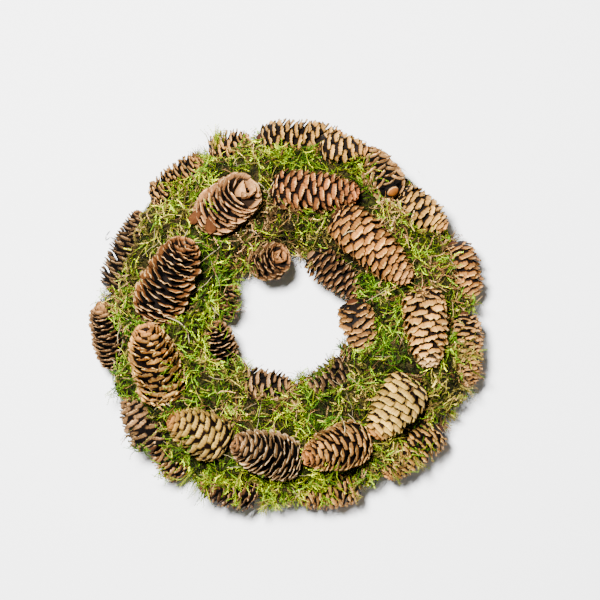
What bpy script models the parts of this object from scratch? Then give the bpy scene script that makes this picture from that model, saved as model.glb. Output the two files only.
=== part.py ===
"""A wreath of spruce cones bedded in moss on a straw ring that is bound round with wire.

It lies on its back on the ground, centred on the Z axis. Sizes here are in
millimetres and degrees, and each mesh is scaled to metres when it is made.
"""

import math
import random

import bmesh
import bpy
from mathutils import Matrix, Vector, noise
from mathutils.bvhtree import BVHTree

MM = 0.001
GAP = 0.35  # left between pieces that touch

# Straw ring
RING_RADIUS = 112.0
RING_HEIGHT = 24.0  # of its centre line above the ground
STRAW_RADIUS = 26.0
PINCH = 1.0  # how far each turn of wire pulls the straw in
BACK_LIFT = 2.0  # how far the back is lifted off the ground under the wire
BACK_HALF_PINCHED = 12.5

# Bunches of moss
BUNCHES = 12
FIRST_SEAM = 156.0  # direction of the seam where the wire ends
HALF_SEAM = 0.8  # beside the wire
HALF_SEAM_TOP = 0.12  # where two bunches meet over it
MOSS_FROM, MOSS_TO = -42.0, 222.0  # round the straw, 0 is outward and 90 is up
MOSS_STEPS_ALONG, MOSS_STEPS_ROUND = 8, 14
MOSS_DEPTH_OUTSIDE, MOSS_DEPTH_INSIDE = 54.5, 50.0  # from the ring's centre line
MOSS_SWELL, MOSS_TUFT = 4.5, 4.2
MOSS_THINNEST = STRAW_RADIUS + GAP + 1.6
LOWEST_MOSS = 0.8
RAYS_PER_STEP, RAYS_REACH = 4, 2
PRESS_STEP = 0.25

# Binding wire
WIRE_RADIUS = 0.6
WIRE_SIDES = 4
WIRE_LEAN = 0.5  # degrees that a turn leans at its start and end

# Envelope of a cone: share of its length from the stalk, share of half its width
CONE_PROFILE = (
    (0.0, 0.42), (0.06, 0.74), (0.18, 0.96), (0.32, 1.0),
    (0.55, 0.94), (0.75, 0.78), (0.9, 0.54), (1.0, 0.28),
)
SPIRAL = 0.1  # extra turn of each row of scales, in scales

# Each cone: stalk end x and y, tip x and y, height of its middle, degrees that its tip
# is raised, width, rows of scales, scales in a row, how far the scales stand open
CONES = {
    "cone_face_01": (-14, 112, 63, 108, 74, 7, 38, 9, 7, 0.45),
    "cone_face_02": (42, 90, 107, 31, 75, 7, 42, 9, 7, 0.3),
    "cone_face_03": (117, 24, 123, -45, 75, 10, 40, 8, 7, 0.85),
    "cone_face_04": (110, -55, 73, -105, 75, 4, 43, 7, 7, 0.1),
    "cone_face_05": (67, -107, 13, -122, 79, 25, 42, 7, 7, 0.45),
    "cone_face_06": (7, -127, -49, -109, 79, 25, 43, 7, 7, 0.7),
    "cone_face_07": (-56, -111, -105, -88, 76, 15, 43, 7, 7, 0.15),
    "cone_face_08": (-109, -71, -125, -7, 82, 29, 46, 8, 7, 0.75),
    "cone_face_09": (-121, 2, -87, 67, 84, 27, 47, 8, 7, 1.0),
    "cone_face_10": (-72, 86, -34, 112, 85, 48, 44, 7, 7, 0.95),
    "cone_outer_01": (-25, 158, 50, 159, 42, -3, 36, 8, 6, 0.5),
    "cone_outer_02": (28, 150, 70, 147, 64, -2, 27, 5, 6, 0.3),
    "cone_outer_03": (91, 110, 67, 147, 57, -35, 34, 6, 6, 1.0),
    "cone_outer_04": (98, 107, 139, 78, 50, -5, 34, 6, 6, 0.6),
    "cone_outer_05": (145, 64, 164, 16, 37, -4, 36, 6, 6, 0.5),
    "cone_outer_06": (155, 2, 160, -62, 40, -5, 33, 7, 5, 0.8),
    "cone_outer_07": (133, -99, 84, -142, 38, 0, 36, 7, 5, 0.7),
    "cone_outer_08": (62, -150, 6, -161, 36, 0, 34, 7, 5, 0.8),
    "cone_outer_09": (-30, -158, -80, -147, 42, 4, 34, 6, 5, 0.7),
    "cone_outer_10": (-94, -140, -121, -114, 31, 0, 31, 5, 5, 0.6),
    "cone_outer_11": (-121, -115, -144, -71, 46, -10, 34, 6, 6, 0.7),
    "cone_outer_12": (-154, -43, -166, 12, 42, 24, 33, 6, 6, 0.8),
    "cone_outer_13": (-157, 25, -131, 95, 37, -4, 33, 8, 6, 0.8),
    "cone_outer_14": (-119, 103, -77, 142, 45, 8, 31, 6, 5, 0.6),
    "cone_outer_15": (-69, 147, -34, 159, 34, 0, 30, 5, 5, 0.8),
    "cone_inner_01": (-27, 46, -6, 54, 51, 46, 34, 5, 6, 0.9),
    "cone_inner_02": (20, 55, 63, 20, 42, -10, 33, 6, 6, 0.8),
    "cone_inner_03": (56, 13, 69, -33, 52, -18, 34, 6, 6, 0.7),
    "cone_inner_04": (66, -36, 46, -29, 25, -4, 24, 4, 5, 0.8),
    "cone_inner_05": (53, -44, 17, -64, 46, 0, 32, 5, 5, 0.6),
    "cone_inner_06": (-40, -60, 2, -61, 41, 4, 32, 5, 5, 0.7),
    "cone_inner_07": (-59, -41, -66, -4, 45, 25, 32, 5, 6, 0.9),
    "cone_inner_08": (-61, -1, -50, 29, 33, 0, 27, 5, 5, 0.8),
}

STRAW = (0.55, 0.42, 0.2)
MOSS_GREEN = (0.2, 0.27, 0.06)
STEEL = (0.12, 0.13, 0.12)
CONE_BROWN = {"face": (0.33, 0.2, 0.11), "outer": (0.22, 0.14, 0.08), "inner": (0.19, 0.12, 0.07)}


def clear_scene():
    for found in list(bpy.data.objects):
        bpy.data.objects.remove(found)


def material(name, colour, roughness, metallic=0.0):
    made = bpy.data.materials.new(name)
    made.use_nodes = True
    shader = made.node_tree.nodes["Principled BSDF"]
    shader.inputs["Base Color"].default_value = (*colour, 1.0)
    shader.inputs["Roughness"].default_value = roughness
    shader.inputs["Metallic"].default_value = metallic
    return made


def add_object(name, points, faces, look):
    """Makes an object from points in millimetres, with all its faces turned outward."""
    mesh = bpy.data.meshes.new(name)
    mesh.from_pydata([Vector(p) * MM for p in points], [], faces)
    shape = bmesh.new()
    shape.from_mesh(mesh)
    bmesh.ops.recalc_face_normals(shape, faces=shape.faces[:])
    shape.to_mesh(mesh)
    shape.free()
    mesh.materials.append(look)
    made = bpy.data.objects.new(name, mesh)
    bpy.context.collection.objects.link(made)
    return made


# Spruce cones


def envelope(share):
    for (low, start), (high, end) in zip(CONE_PROFILE, CONE_PROFILE[1:]):
        if share <= high:
            return start + (end - start) * (share - low) / (high - low)
    return CONE_PROFILE[-1][1]


def cone_shape(length, width, rows, around, spread, seed):
    """Points and faces of one cone along Z, stalk end at the origin.

    Each scale has two lip corners that overhang an undercut point, and a notch on
    either side, which it shares with the scales of the next row.
    """
    rng = random.Random(seed)
    pitch = length / (rows + 0.75)
    half = math.pi / around
    points, faces = [], []

    def point(angle, along, share):
        radius = width / 2 * envelope(min(along / length, 1.0)) * share
        points.append((radius * math.cos(angle), radius * math.sin(angle), along))
        return len(points) - 1

    base = [point(half * i, 0.0, 1.0) for i in range(2 * around)]
    notches = [base[2 * j] for j in range(around)]
    unders = [base[2 * j - 1] for j in range(around)]
    for row in range(rows):
        turn = row * half * (1 + 2 * SPIRAL)
        along = (row + 0.45) * pitch
        new_notches, new_unders, lips = [], [], []
        for j in range(around):
            angle = turn + 2 * half * j
            reach = pitch * (0.66 - 0.14 * spread + rng.uniform(-0.08, 0.08))
            out = 1.0 + rng.uniform(-0.03, 0.05)
            wide = half * 0.72
            new_notches.append(point(angle + half, along + 0.1 * pitch, 0.88 - 0.15 * spread))
            new_unders.append(point(angle, along + 0.2 * pitch, 0.72 - 0.18 * spread))
            lips.append((point(angle - wide, along + reach, out), point(angle + wide, along + reach, out)))
        for j in range(around):
            left, right = lips[j]
            lower, lower_right, lower_left = notches[j], unders[(j + 1) % around], unders[j]
            notch_right, notch_left = new_notches[j], new_notches[j - 1]
            faces += [
                (lower, lower_right, notch_right), (lower, notch_right, right),
                (lower, right, left), (lower, left, notch_left), (lower, notch_left, lower_left),
                (new_unders[j], notch_left, left), (new_unders[j], left, right),
                (new_unders[j], right, notch_right),
            ]
        notches, unders = new_notches, new_unders
    stalk, tip = len(points), len(points) + 1
    points += [(0.0, 0.0, -1.2), (0.0, 0.0, length)]
    count = 2 * around
    faces += [(stalk, base[(i + 1) % count], base[i]) for i in range(count)]
    for j in range(around):
        faces += [(unders[j], notches[j], tip), (notches[j], unders[(j + 1) % around], tip)]
    return points, faces


def cone_placement(entry):
    """Where a cone lies, and its length."""
    x0, y0, x1, y1, middle, raised = entry[:6]
    flat = math.hypot(x1 - x0, y1 - y0)
    rise = flat * math.tan(math.radians(raised)) / 2
    start = Vector((x0, y0, middle - rise))
    along = Vector((x1, y1, middle + rise)) - start
    turned = along.to_track_quat("Z", "Y").to_matrix().to_4x4()
    return Matrix.Translation(start) @ turned, along.length


def add_cones():
    """Adds every cone, and gives back their surfaces for the moss to keep clear of."""
    all_points, all_faces = [], []
    for seed, (name, entry) in enumerate(CONES.items()):
        width, rows, around, spread = entry[6:]
        placed, length = cone_placement(entry)
        points, faces = cone_shape(length, width, rows, around, spread, seed)
        look = material(name, CONE_BROWN[name.split("_")[1]], 0.65)
        cone = add_object(name, points, faces, look)
        cone.location = placed.translation * MM
        cone.rotation_mode = "QUATERNION"
        cone.rotation_quaternion = placed.to_quaternion()
        all_faces += [tuple(len(all_points) + i for i in face) for face in faces]
        all_points += [placed @ Vector(p) for p in points]
    return BVHTree.FromPolygons(all_points, all_faces)


# Straw ring


def at(direction, round_straw, depth):
    """A point by its direction round the wreath, its angle round the straw and its depth."""
    across = RING_RADIUS + depth * math.cos(math.radians(round_straw))
    up = RING_HEIGHT + depth * math.sin(math.radians(round_straw))
    turn = math.radians(direction)
    return Vector((across * math.cos(turn), across * math.sin(turn), up))


def seam(bunch):
    return FIRST_SEAM + 360.0 / BUNCHES * bunch


def bunch_directions(bunch, steps, half_seam=HALF_SEAM):
    start, end = seam(bunch) + half_seam, seam(bunch + 1) - half_seam
    return [start + (end - start) * i / steps for i in range(steps + 1)]


def straw_depth(pinched):
    return STRAW_RADIUS - PINCH if pinched else STRAW_RADIUS


def straw_angles():
    steps = MOSS_STEPS_ROUND // 2
    return [MOSS_FROM + (MOSS_TO - MOSS_FROM) * i / steps for i in range(steps + 1)]


def back_edge(direction, side, pinched, drop=0.0):
    """A point on the outer (side 1) or inner (side -1) edge of the flat back."""
    half = BACK_HALF_PINCHED if pinched else math.sqrt(STRAW_RADIUS**2 - RING_HEIGHT**2)
    turn = math.radians(direction)
    across = RING_RADIUS + side * half
    height = (BACK_LIFT if pinched else 0.0) - drop
    return Vector((across * math.cos(turn), across * math.sin(turn), height))


def straw_section(direction, pinched):
    rim = [at(direction, angle, straw_depth(pinched)) for angle in straw_angles()]
    return rim + [back_edge(direction, -1, pinched), back_edge(direction, 1, pinched)]


def add_straw_ring():
    """A ring of straw with a flat back, pinched in where each turn of wire goes round."""
    sections = []
    steps = MOSS_STEPS_ALONG // 2
    for bunch in range(BUNCHES):
        for i, direction in enumerate(bunch_directions(bunch, steps)):
            sections.append(straw_section(direction, i in (0, steps)))
    corners = len(sections[0])
    points = [p for section in sections for p in section]
    faces = []
    for s in range(len(sections)):
        here, there = s * corners, (s + 1) % len(sections) * corners
        for i in range(corners):
            j = (i + 1) % corners
            faces += [(here + i, here + j, there + j), (here + i, there + j, there + i)]
    add_object("straw_ring", points, faces, material("straw", STRAW, 0.85))


# Moss


def wanted_depth(direction, round_straw, column, row):
    """How far the moss would stand off the centre line if no cone were there."""
    spot = at(direction, round_straw, 45.0) / 24.0
    outward = (1 + math.cos(math.radians(round_straw))) / 2
    depth = MOSS_DEPTH_INSIDE + (MOSS_DEPTH_OUTSIDE - MOSS_DEPTH_INSIDE) * outward
    depth += 2 * MOSS_SWELL * noise.noise(spot)
    column %= BUNCHES * MOSS_STEPS_ALONG
    depth += MOSS_TUFT * random.Random(1000 * column + row).uniform(-1.0, 1.0)
    below = math.sin(math.radians(round_straw))
    if below < 0:
        depth = min(depth * (1 + 0.45 * below), (RING_HEIGHT - LOWEST_MOSS) / -below)
    return depth


def room(cones, direction, round_straw):
    """How far out from the centre line the first cone is."""
    centre = at(direction, round_straw, 0.0)
    hit = cones.ray_cast(centre, at(direction, round_straw, 1.0) - centre, 90.0)
    return 90.0 if hit[3] is None else hit[3]


def moss_depths(cones, bunch):
    """Depth at each point of a bunch, no more than the rays of the cells round it allow."""
    fine_along = bunch_directions(bunch, MOSS_STEPS_ALONG * RAYS_PER_STEP, HALF_SEAM_TOP)
    fine_count = MOSS_STEPS_ROUND * RAYS_PER_STEP
    fine_round = [MOSS_FROM + (MOSS_TO - MOSS_FROM) * j / fine_count for j in range(fine_count + 1)]
    free = [[room(cones, u, v) for v in fine_round] for u in fine_along]
    depths = []
    for i in range(MOSS_STEPS_ALONG + 1):
        row = []
        for j in range(MOSS_STEPS_ROUND + 1):
            fi, fj = i * RAYS_PER_STEP, j * RAYS_PER_STEP
            near = [
                free[a][b]
                for a in range(max(fi - RAYS_REACH, 0), min(fi + RAYS_REACH + 1, len(free)))
                for b in range(max(fj - RAYS_REACH, 0), min(fj + RAYS_REACH + 1, len(fine_round)))
            ]
            wanted = wanted_depth(fine_along[fi], fine_round[fj], bunch * MOSS_STEPS_ALONG + i, j)
            row.append(max(min(wanted, min(near) - GAP), MOSS_THINNEST))
        depths.append(row)
    return depths


def moss_surface(bunch, depths):
    """Points of the outer surface. Low at the seam of the wire's loose end it leaves it room."""
    along = bunch_directions(bunch, MOSS_STEPS_ALONG, HALF_SEAM_TOP)
    wide = bunch_directions(bunch, MOSS_STEPS_ALONG)
    span = MOSS_TO - MOSS_FROM
    points = []
    for i, row in enumerate(depths):
        loose = (bunch, i) in ((0, 0), (BUNCHES - 1, MOSS_STEPS_ALONG))
        for j, depth in enumerate(row):
            angle = MOSS_FROM + span * j / MOSS_STEPS_ROUND
            points.append(at(wide[i] if loose and angle < 30.0 else along[i], angle, depth))
    return points


def rim_of(grid):
    """The outer edge of a grid of point numbers, once round."""
    last = len(grid[0]) - 1
    down = [row[last] for row in grid[1:]]
    back = grid[-1][-2::-1]
    up = [row[0] for row in grid[-2:0:-1]]
    return grid[0] + down + back + up


def grid_faces(grid):
    faces = []
    for near, far in zip(grid, grid[1:]):
        for j in range(len(near) - 1):
            faces += [(near[j], near[j + 1], far[j + 1]), (near[j], far[j + 1], far[j])]
    return faces


def bunch_mesh(bunch, depths):
    """A closed bunch: its tufted outside, its inside against the straw, and the edges between."""
    points = moss_surface(bunch, depths)
    wide = MOSS_STEPS_ROUND + 1
    outer = [[i * wide + j for j in range(wide)] for i in range(MOSS_STEPS_ALONG + 1)]
    inner = []
    for i, direction in enumerate(bunch_directions(bunch, MOSS_STEPS_ALONG // 2)):
        pinched = i in (0, MOSS_STEPS_ALONG // 2)
        inner.append([len(points) + j for j in range(len(straw_angles()))])
        points += [at(direction, angle, straw_depth(pinched) + GAP) for angle in straw_angles()]
    faces = grid_faces(outer) + grid_faces(inner)
    outside, inside = rim_of(outer), rim_of(inner)
    for m in range(len(inside)):
        a, b = inside[m], inside[(m + 1) % len(inside)]
        first, middle, last = (outside[(2 * m + k) % len(outside)] for k in range(3))
        faces += [(a, first, middle), (a, middle, b), (b, middle, last)]
    return points, faces


def press_down(cones, bunch, depths):
    """Lowers the moss wherever its surface still meets a cone, then by a clearance more."""
    wide = MOSS_STEPS_ROUND + 1
    pressed = set()
    for _ in range(60):
        points, faces = bunch_mesh(bunch, depths)
        meets = BVHTree.FromPolygons(points, faces).overlap(cones)
        corners = {corner for face, _ in meets for corner in faces[face]}
        corners = {corner for corner in corners if corner < wide * len(depths)}
        if not corners:
            break
        pressed |= corners
        for corner in corners:
            i, j = divmod(corner, wide)
            depths[i][j] = max(depths[i][j] - PRESS_STEP, MOSS_THINNEST)
    for corner in pressed:
        i, j = divmod(corner, wide)
        depths[i][j] = max(depths[i][j] - GAP, MOSS_THINNEST)


def add_moss_bunch(cones, bunch):
    """A tufted bunch that wraps the front and sides of the straw and leaves its back open."""
    depths = moss_depths(cones, bunch)
    press_down(cones, bunch, depths)
    name = f"moss_{bunch + 1:02d}"
    add_object(name, *bunch_mesh(bunch, depths), material(name, MOSS_GREEN, 0.9))


# Binding wire


def wire_turn(direction, last):
    """The points of one turn: under the back, up the inside, over the front, down the outside."""
    off = GAP + WIRE_RADIUS + 0.05
    lean = direction - WIRE_LEAN
    turn = [flank(lean, True), back_edge(lean, 1, True, off), back_edge(direction, -1, True, off)]
    depth = straw_depth(True) + off
    angles = [a for a in reversed(straw_angles()) if not (last and a < -40)]
    turn += [at(direction, angle, depth) for angle in angles]
    return turn if last else turn + [flank(direction + WIRE_LEAN, True)]


def flank(direction, pinched):
    """A point of the wire beside the outer edge of the back, where it runs to its next turn."""
    off = GAP + WIRE_RADIUS + 0.05
    upper = at(direction, MOSS_FROM, straw_depth(pinched))
    lower = back_edge(direction, 1, pinched)
    out = at(direction, MOSS_FROM - 12.0, 1.0) - at(direction, MOSS_FROM - 12.0, 0.0)
    return (upper + lower) / 2 + out * off


def loose_end():
    """The end that sticks out at the left, curled back like a hook."""
    turn = math.radians(FIRST_SEAM)
    out = [(147.0, 14.0), (158.0, 11.0), (168.0, 14.0), (175.5, 21.0)]
    points = [Vector((r * math.cos(turn), r * math.sin(turn), z)) for r, z in out]
    return points + [Vector((-163.5, 68.0, 29.0)), Vector((-163.0, 72.0, 34.0)), Vector((-159.0, 77.0, 36.0))]


def wire_path():
    path = []
    steps = MOSS_STEPS_ALONG // 2
    for turn in range(1, BUNCHES + 1):
        path += wire_turn(seam(turn), turn == BUNCHES)
        if turn < BUNCHES:
            path += [flank(u, False) for u in bunch_directions(turn, steps)[1:-1]]
    return path + loose_end()


def tube(path, radius, sides):
    """A tube with closed ends along a path, its sections turned as little as possible."""
    points, faces = [], []
    ahead = (path[1] - path[0]).normalized()
    side = ahead.orthogonal().normalized()
    for i, spot in enumerate(path):
        before = (spot - path[i - 1]).normalized() if i else ahead
        after = (path[i + 1] - spot).normalized() if i + 1 < len(path) else before
        ahead = (before + after).normalized()
        side = (side - ahead * side.dot(ahead)).normalized()
        other = ahead.cross(side)
        for k in range(sides):
            angle = 2 * math.pi * k / sides
            points.append(spot + radius * (side * math.cos(angle) + other * math.sin(angle)))
    for i in range(len(path) - 1):
        for k in range(sides):
            a, b = i * sides + k, i * sides + (k + 1) % sides
            faces += [(a, b, b + sides), (a, b + sides, a + sides)]
    end = (len(path) - 1) * sides
    faces += [(0, k + 1, k) for k in range(1, sides - 1)]
    faces += [(end, end + k, end + k + 1) for k in range(1, sides - 1)]
    return points, faces


def add_wire():
    points, faces = tube(wire_path(), WIRE_RADIUS, WIRE_SIDES)
    add_object("binding_wire", points, faces, material("steel", STEEL, 0.45, 0.9))


def centre_wreath():
    """Moves every piece alike, so that the Z axis runs through the middle of the whole."""
    bpy.context.view_layer.update()
    made = bpy.context.collection.objects
    corners = [piece.matrix_world @ v.co for piece in made for v in piece.data.vertices]
    x = (min(p.x for p in corners) + max(p.x for p in corners)) / 2
    y = (min(p.y for p in corners) + max(p.y for p in corners)) / 2
    for piece in made:
        piece.location -= Vector((x, y, 0.0))


clear_scene()
cone_surfaces = add_cones()
add_straw_ring()
for number in range(BUNCHES):
    add_moss_bunch(cone_surfaces, number)
add_wire()
centre_wreath()
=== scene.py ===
# %% [markdown]
# # A wreath of spruce cones and moss
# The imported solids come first. They give every place and size here, so a finer
# piece is always made where its solid already is.

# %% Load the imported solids
import math

import bpy
import numpy as np
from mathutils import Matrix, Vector, noise
from mathutils.bvhtree import BVHTree


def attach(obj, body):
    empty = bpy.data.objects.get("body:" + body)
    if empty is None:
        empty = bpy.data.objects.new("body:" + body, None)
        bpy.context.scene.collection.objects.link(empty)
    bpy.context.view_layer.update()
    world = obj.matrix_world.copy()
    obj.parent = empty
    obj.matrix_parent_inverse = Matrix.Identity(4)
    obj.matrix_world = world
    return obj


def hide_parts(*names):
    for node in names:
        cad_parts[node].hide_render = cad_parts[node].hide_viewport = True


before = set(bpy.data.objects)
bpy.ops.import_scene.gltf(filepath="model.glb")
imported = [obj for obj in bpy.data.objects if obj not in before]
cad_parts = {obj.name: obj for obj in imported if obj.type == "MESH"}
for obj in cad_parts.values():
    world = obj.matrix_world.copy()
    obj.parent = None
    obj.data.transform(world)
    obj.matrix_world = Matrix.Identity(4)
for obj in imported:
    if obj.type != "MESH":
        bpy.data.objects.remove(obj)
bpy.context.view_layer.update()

MM = 0.001


def add_object(name, data):
    made = bpy.data.objects.new(name, data)
    bpy.context.collection.objects.link(made)
    return made


# %% [markdown]
# ## The camera
# The wreath was seen from straight above, from far off, so its sides hardly show.
# A long lens from 2.2 m does the same. The wreath lies a little to the left of the
# picture's middle and below it. Moving the camera does that without any shift of the
# lens, so other views stay centred.

# %% Camera
CAMERA_PLACE = (0.0109, 0.0129, 2.2)
HALFWAY_UP = 0.045  # about half the height of the wreath
FRAMED = 0.5316  # metres across the picture at that height
SENSOR_WIDTH = 36.0
camera_data = bpy.data.cameras.new("camera")
camera_data.sensor_width = SENSOR_WIDTH
camera_data.lens = SENSOR_WIDTH * (CAMERA_PLACE[2] - HALFWAY_UP) / FRAMED
camera = add_object("camera", camera_data)
camera.location = CAMERA_PLACE
bpy.context.scene.camera = camera
print("lens:", round(camera_data.lens, 1), "mm")

# %% [markdown]
# ## Floor and light
# The wreath lies on white paper under one soft lamp, a little to the upper left, and a
# pale sky fills its shadows. The lamp is strong, so that the paper comes out nearly
# white. It is no wider than the wreath, so that each scale and strand still throws a
# clear shadow on what lies under it.

# %% Floor, sky and lamp
PAPER = (0.88, 0.88, 0.88)
FLOOR_HALF = 6.0
SKY_LIGHT = 0.17
LAMP_ENERGY, LAMP_WIDTH = 244.0, 0.3
LAMP_PLACE = (-0.3, 0.4, 1.95)

paper = bpy.data.materials.new("floor_paper")
paper.use_nodes = True
paper.node_tree.nodes["Principled BSDF"].inputs["Base Color"].default_value = (*PAPER, 1.0)
paper.node_tree.nodes["Principled BSDF"].inputs["Roughness"].default_value = 0.9

floor_mesh = bpy.data.meshes.new("floor")
ways_out = (-1, -1), (1, -1), (1, 1), (-1, 1)
floor_corners = [(FLOOR_HALF * x, FLOOR_HALF * y, 0) for x, y in ways_out]
floor_mesh.from_pydata(floor_corners, [], [(0, 1, 2, 3)])
floor_mesh.materials.append(paper)
floor = add_object("floor", floor_mesh)

sky = bpy.data.worlds.new("sky")
sky.use_nodes = True
sky.node_tree.nodes["Background"].inputs["Color"].default_value = (1.0, 1.0, 1.0, 1.0)
sky.node_tree.nodes["Background"].inputs["Strength"].default_value = SKY_LIGHT
bpy.context.scene.world = sky

lamp_data = bpy.data.lights.new("lamp", "AREA")
lamp_data.energy = LAMP_ENERGY
lamp_data.size = LAMP_WIDTH
lamp = add_object("lamp", lamp_data)
lamp.location = LAMP_PLACE
lamp.rotation_euler = (-Vector(LAMP_PLACE)).to_track_quat("-Z", "Y").to_euler()

# %% [markdown]
# ## Making meshes from arrays
# A wreath is thousands of small things: scales, stems and leaves. Placing each one by
# hand or as its own object would be slow and heavy. Here every kind of small thing is
# worked out for all its copies at once as an array of points, and a whole cone or a
# whole bunch of moss becomes one mesh.

# %% Arrays to meshes
def unit(vectors):
    return vectors / np.maximum(np.linalg.norm(vectors, axis=-1, keepdims=True), 1e-12)


def way_of(heading, raised):
    """The way to a heading on the floor, raised off it, both in degrees."""
    turn, up = math.radians(heading), math.radians(raised)
    return np.array([math.cos(turn) * math.cos(up), math.sin(turn) * math.cos(up), math.sin(up)])


def add_piece(name, parts, look, sharp_above=None):
    """Makes one object. Each part is its points, its arrays of faces and its marks."""
    faces, start = [], 0
    for points, groups, _ in parts:
        for group in groups:
            faces += (np.asarray(group) + start).tolist()
        start += len(points)
    mesh = bpy.data.meshes.new(name)
    mesh.from_pydata(np.concatenate([p for p, _, _ in parts]).tolist(), [], faces)
    marks = mesh.color_attributes.new("marks", "FLOAT_COLOR", "POINT")
    marks.data.foreach_set("color", np.concatenate([m for _, _, m in parts]).ravel())
    mesh.shade_smooth()
    if sharp_above:
        mesh.set_sharp_from_angle(angle=math.radians(sharp_above))
    mesh.materials.append(look)
    made = add_object(name, mesh)
    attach(made, "root")
    return made


def corners_of(node):
    return np.array([v.co[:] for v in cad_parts[node].data.vertices])


def triangles_of(node):
    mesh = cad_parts[node].data
    mesh.calc_loop_triangles()
    return np.array([t.vertices[:] for t in mesh.loop_triangles])


def surface_of(nodes):
    """One search tree over the surfaces of several solids, to find what lies where."""
    points, faces, start = [], [], 0
    for node in nodes:
        corners = corners_of(node)
        points += [Vector(p) for p in corners.tolist()]
        faces += (triangles_of(node) + start).tolist()
        start += len(corners)
    return BVHTree.FromPolygons(points, faces)


# %% [markdown]
# ## Making finishes from nodes
# No picture is used for any colour. Each finish is a small tree of nodes: noise for
# the uneven, ramps for the change from root to edge, and bump for what is too fine to
# model. A few short helpers keep the trees readable. Every paint is made darker by the
# same share, because the lamp is strong: that leaves the colours as they are, but less
# light is thrown from one scale to the next, so the gaps stay deep.

# %% Node helpers
PAINT_SHARE = 0.55
PAINT_STRENGTH = 1.18  # strong light washes colours out in the picture, so they start purer


def paint(red, green, blue):
    """A colour as it is read off a screen, 0 to 255, turned into the light it stands for."""
    shares = [c / 255.0 for c in (red, green, blue)]
    light = [c / 12.92 if c <= 0.04045 else ((c + 0.055) / 1.055) ** 2.4 for c in shares]
    plain = 0.2126 * light[0] + 0.7152 * light[1] + 0.0722 * light[2]
    return tuple(PAINT_SHARE * max(plain + PAINT_STRENGTH * (c - plain), 0.001) for c in light)


def add_node(tree, kind, inputs=(), **settings):
    """Adds a node. Each input is filled with a value, or from another node's output."""
    made = tree.nodes.new("ShaderNode" + kind)
    for key, value in settings.items():
        setattr(made, key, value)
    for key, value in dict(inputs).items():
        if isinstance(value, bpy.types.NodeSocket):
            tree.links.new(value, made.inputs[key])
        else:
            made.inputs[key].default_value = value
    return made


def mixed(tree, factor, first, second, blend="MIX"):
    """The colour between two others."""
    sides = {0: factor, 6: first, 7: second}
    sides = {k: (*v, 1.0) if isinstance(v, tuple) else v for k, v in sides.items()}
    return add_node(tree, "Mix", sides, data_type="RGBA", blend_type=blend).outputs[2]


def ranged(tree, value, low, high, new_low=0.0, new_high=1.0):
    """Stretches one range of a value onto another, and clips it there."""
    settings = {0: value, 1: low, 2: high, 3: new_low, 4: new_high}
    return add_node(tree, "MapRange", settings).outputs[0]


def noise_at(tree, place, scale, detail, **more):
    """Noise with so many grains to a metre, or to a unit of the place."""
    inputs = {"Vector": place, "Scale": scale, "Detail": detail, **more}
    return add_node(tree, "TexNoise", inputs).outputs["Fac"]


def lit(tree, colour, *lights):
    """A colour made lighter or darker by each of several values."""
    for light in lights:
        grey = add_node(tree, "CombineXYZ", {0: light, 1: light, 2: light}).outputs[0]
        colour = mixed(tree, 1.0, colour, grey, "MULTIPLY")
    return colour


def new_tree(name, roughness, specular):
    made = bpy.data.materials.new(name)
    made.use_nodes = True
    shader = made.node_tree.nodes["Principled BSDF"]
    shader.inputs["Roughness"].default_value = roughness
    shader.inputs["Specular IOR Level"].default_value = specular
    return made, made.node_tree, shader


def add_bump(tree, shader, height, strength, distance):
    bump = {"Height": height, "Strength": strength, "Distance": distance}
    made = add_node(tree, "Bump", bump)
    tree.links.new(made.outputs["Normal"], shader.inputs["Normal"])


# %% [markdown]
# ## The finish of a scale
# A spruce scale is dry and matt. It is darkest at its root, where its own dark brown
# is deepened by painted shade of the gap under the lip that covers it, tan on the part
# that shows, and palest near its lip, where a painted highlight brightens its own paler
# lip; the very edge is often brown again. Its sides are painted darker than its middle,
# as shade where neighbouring scales meet, fine fibres run along it, and no two scales
# weather alike. The marks that each scale carries say how far along and across it a
# point is, so all this can follow the scale wherever it points.

# %% Scale finish
FIBRE_STRETCH = (9.0, 1.6, 60.0)  # across and along a scale, and from one scale to the next


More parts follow.
